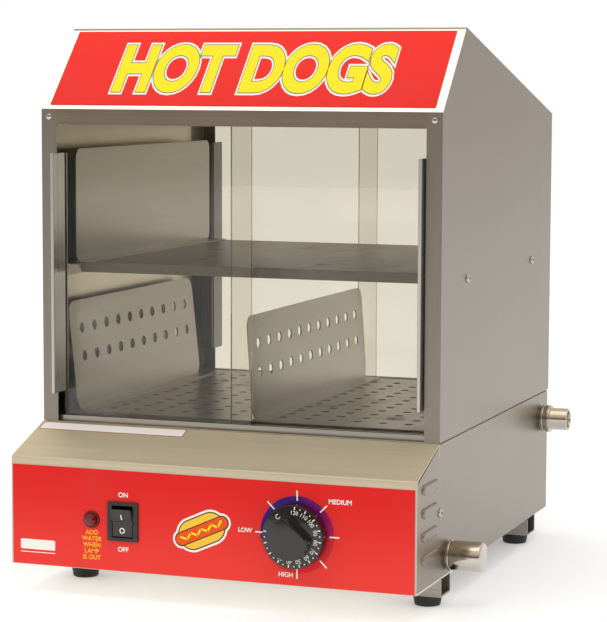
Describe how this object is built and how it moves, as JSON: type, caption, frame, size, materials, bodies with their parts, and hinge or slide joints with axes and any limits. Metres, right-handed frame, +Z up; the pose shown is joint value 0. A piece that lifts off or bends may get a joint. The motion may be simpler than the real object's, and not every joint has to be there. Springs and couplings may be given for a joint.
{
  "type": "hot dog steamer",
  "caption": "Countertop hot dog steamer: water-bath base with sloping console, glazed cabinet with sliding doors front and rear, bun shelf and perforated dividers.",
  "frame": {"origin": "on the counter, in the middle of the whole object's box seen from above", "axes": "+X to the right-hand side seen from the front, where the drain and overflow are; +Y to the back; +Z up"},
  "size_m": [0.4157, 0.4872, 0.5051],
  "materials": {
    "body_steel": "brushed stainless steel, satin",
    "inner_steel": "fine brushed stainless steel",
    "leg_steel": "folded stainless steel",
    "track_metal": "mill-finish extrusion",
    "handle_metal": "dark satin anodised extrusion",
    "door_glass": "clear toughened glass",
    "fitting_chrome": "polished",
    "fastener_steel": "plain stainless steel",
    "brass_fitting": "turned brass",
    "element_sheath": "dull heat-darkened sheath",
    "bulb_copper": "copper",
    "terminal_plastic": "moulded",
    "thermostat_plastic": "moulded",
    "switch_plastic": "fine grained",
    "rocker_plastic": "satin",
    "knob_plastic": "satin phenolic",
    "lamp_plastic": "moulded",
    "lamp_red": "clear red lens",
    "sign_red": "glossy printed sheet",
    "panel_red": "printed overlay, satin",
    "foot_rubber": "moulded",
    "seal_rubber": "flat washer",
    "inlet_plastic": "moulded nylon"
  },
  "bodies": {
    "root": {"base_back": "body_steel", "base_deck": "body_steel", "base_floor": "body_steel", "base_front": "body_steel", "base_left_side": "body_steel", "base_right_side": "body_steel", "bulb_gland": "brass_fitting", "cabinet_left_side": "body_steel", "cabinet_right_side": "body_steel", "control_overlay": "panel_red", "cord_inlet": "inlet_plastic", "drain_spigot": "fitting_chrome", "element_nuts": "brass_fitting", "fitting_nuts": "fastener_steel", "foot_screws": "fastener_steel", "front_header": "body_steel", "front_lower_track": "track_metal", "front_upper_track": "track_metal", "heating_element": "element_sheath", "lamp_body": "lamp_plastic", "lamp_lens": "lamp_red", "left_shelf_rail": "inner_steel", "leg_brackets": "leg_steel", "limit_switch": "switch_plastic", "overflow_tube": "fitting_chrome", "panel_screws": "fastener_steel", "post_rivets": "fastener_steel", "rear_header": "body_steel", "rear_lower_track": "track_metal", "rear_upper_track": "track_metal", "right_shelf_rail": "inner_steel", "roof_cover": "body_steel", "rubber_feet": "foot_rubber", "shelf_nuts": "fastener_steel", "shelf_screws": "fastener_steel", "sign_face": "sign_red", "switch_body": "switch_plastic", "terminal_block": "terminal_plastic", "thermostat_body": "thermostat_plastic", "thermostat_bulb": "bulb_copper", "thermostat_screws": "fastener_steel", "water_pan": "inner_steel"},
    "front_left_door": {"front_left_glass": "door_glass", "front_left_handle": "handle_metal"},
    "front_right_door": {"front_right_glass": "door_glass", "front_right_handle": "handle_metal"},
    "rear_left_door": {"rear_left_glass": "door_glass", "rear_left_handle": "handle_metal"},
    "rear_right_door": {"rear_right_glass": "door_glass", "rear_right_handle": "handle_metal"},
    "thermostat_control": {"thermostat_knob": "knob_plastic", "thermostat_shaft": "fastener_steel"},
    "power_rocker": {"switch_rocker": "rocker_plastic"},
    "drain_washer": {"drain_seal": "seal_rubber"},
    "drain_screw_cap": {"drain_cap": "fitting_chrome"},
    "shelf": {"bun_shelf": "inner_steel"},
    "bun_plate": {"bun_side_plate": "inner_steel"},
    "tray": {"hot_dog_tray": "inner_steel"},
    "left_plate": {"left_divider": "inner_steel"},
    "middle_plate": {"middle_divider": "inner_steel"}
  },
  "joints": [
    {"name": "front_left_door_slide", "type": "slide", "parent": "root", "child": "front_left_door", "axis": [1, 0, 0], "range_m": [0, 0.158]},
    {"name": "front_right_door_slide", "type": "slide", "parent": "root", "child": "front_right_door", "axis": [1, 0, 0], "range_m": [-0.158, 0]},
    {"name": "rear_left_door_slide", "type": "slide", "parent": "root", "child": "rear_left_door", "axis": [1, 0, 0], "range_m": [0, 0.158]},
    {"name": "rear_right_door_slide", "type": "slide", "parent": "root", "child": "rear_right_door", "axis": [1, 0, 0], "range_m": [-0.158, 0]},
    {"name": "thermostat_turn", "type": "hinge", "parent": "root", "child": "thermostat_control", "pos_m": [0.06625, -0.23105, 0.071], "axis": [0, -1, 0], "range_deg": [0, 270]},
    {"name": "power_rocker_tilt", "type": "hinge", "parent": "root", "child": "power_rocker", "pos_m": [-0.09715, -0.21975, 0.071], "axis": [-1, 0, 0], "range_deg": [0, 24]},
    {"name": "drain_washer_slide", "type": "slide", "parent": "root", "child": "drain_washer", "axis": [1, 0, 0], "range_m": [0, 0.01643]},
    {"name": "drain_cap_turn", "type": "hinge", "parent": "drain_washer", "child": "drain_screw_cap", "pos_m": [0.17875, -0.12755, 0.044], "axis": [1, 0, 0], "range_deg": [0, 3240]},
    {"name": "bun_shelf_lift", "type": "slide", "parent": "root", "child": "shelf", "axis": [0, 0, 1], "range_m": [0, 0.02]},
    {"name": "bun_plate_lift", "type": "slide", "parent": "shelf", "child": "bun_plate", "axis": [0, 0, 1], "range_m": [0, 0.012]},
    {"name": "tray_lift", "type": "slide", "parent": "root", "child": "tray", "axis": [0, 0, 1], "range_m": [0, 0.012]},
    {"name": "left_divider_lift", "type": "slide", "parent": "tray", "child": "left_plate", "axis": [0, 0, 1], "range_m": [0, 0.012]},
    {"name": "middle_divider_lift", "type": "slide", "parent": "tray", "child": "middle_plate", "axis": [0, 0, 1], "range_m": [0, 0.012]}
  ],
  "couplings": [
    {"joint": "drain_washer_slide", "follows": "drain_cap_turn", "m_per_rad": 0.00028871}
  ]
}
